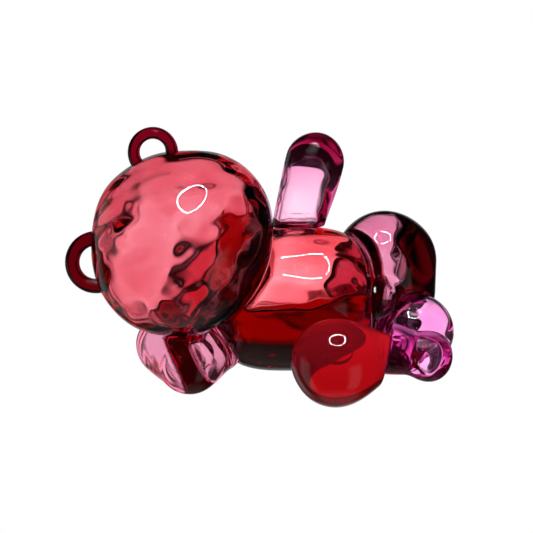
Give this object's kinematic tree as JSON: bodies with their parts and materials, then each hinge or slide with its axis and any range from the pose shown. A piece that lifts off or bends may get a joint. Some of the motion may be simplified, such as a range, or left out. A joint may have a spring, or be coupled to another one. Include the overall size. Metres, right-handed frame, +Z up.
{
  "type": "reclining bear figure",
  "caption": "Reclining bear figure of see-through tinted vinyl shells with ring ears, a raised arm and limbs that swivel on snap-in pegs.",
  "frame": {"origin": "Middle of the footprint on the surface that the figure lies on", "axes": "+X from the head to the feet, +Y from the side that shows both legs to the side away from it, +Z up"},
  "size_m": [0.1506, 0.0951, 0.1007],
  "materials": {
    "head": "clear, high-gloss tinted vinyl",
    "ear": "clear, high-gloss tinted vinyl",
    "torso": "clear, high-gloss tinted vinyl",
    "raised_arm": "clear, high-gloss tinted vinyl",
    "propping_arm": "clear, high-gloss tinted vinyl",
    "thigh": "clear, high-gloss tinted vinyl",
    "rear_leg": "clear, high-gloss tinted vinyl",
    "foot": "clear, high-gloss tinted vinyl",
    "joint_peg": "clear, high-gloss tinted vinyl"
  },
  "bodies": {
    "torso": {"torso_shell": "torso", "propping_shoulder_stud": "joint_peg"},
    "head": {"head_shell": "head", "upper_ear": "ear", "lower_ear": "ear", "neck_peg": "joint_peg"},
    "raised_arm": {"raised_arm": "raised_arm", "raised_shoulder_peg": "joint_peg"},
    "propping_arm": {"propping_arm": "propping_arm"},
    "front_leg": {"front_leg": "thigh", "front_hip_peg": "joint_peg"},
    "front_foot": {"front_foot": "foot", "front_ankle_peg": "joint_peg"},
    "rear_leg": {"rear_leg": "rear_leg", "rear_hip_peg": "joint_peg"},
    "rear_foot": {"rear_foot": "foot", "rear_ankle_peg": "joint_peg"}
  },
  "joints": [
    {"name": "neck_swivel", "type": "hinge", "parent": "torso", "child": "head", "pos_m": [-0.0298, -0.01, 0.0587], "axis": [0.7595, 0.2949, -0.5798], "continuous": true},
    {"name": "raised_arm_swivel", "type": "hinge", "parent": "torso", "child": "raised_arm", "pos_m": [0.01438, 0.01517, 0.05538], "axis": [0, 0.208, 0.9781], "continuous": true},
    {"name": "propping_arm_swivel", "type": "hinge", "parent": "torso", "child": "propping_arm", "pos_m": [-0.0172, 0.0016, 0.0115], "axis": [-0.2509, -0.231, 0.94], "range_deg": [-8, 2]},
    {"name": "front_hip_swivel", "type": "hinge", "parent": "torso", "child": "front_leg", "pos_m": [0.0291, -0.03, 0.0172], "axis": [0.0136, -0.9543, -0.2985], "range_deg": [-6, 30]},
    {"name": "front_ankle_swivel", "type": "hinge", "parent": "front_leg", "child": "front_foot", "pos_m": [0.0483, -0.0174, 0.0178], "axis": [0.9801, 0, -0.1985], "continuous": true},
    {"name": "rear_hip_swivel", "type": "hinge", "parent": "torso", "child": "rear_leg", "pos_m": [0.0128, 0.0096, 0.0279], "axis": [0.9857, -0.159, 0.0556], "range_deg": [0, 35]},
    {"name": "rear_ankle_swivel", "type": "hinge", "parent": "rear_leg", "child": "rear_foot", "pos_m": [0.0603, 0.0082, 0.0147], "axis": [0.4599, -0.7758, -0.4319], "continuous": true}
  ]
}
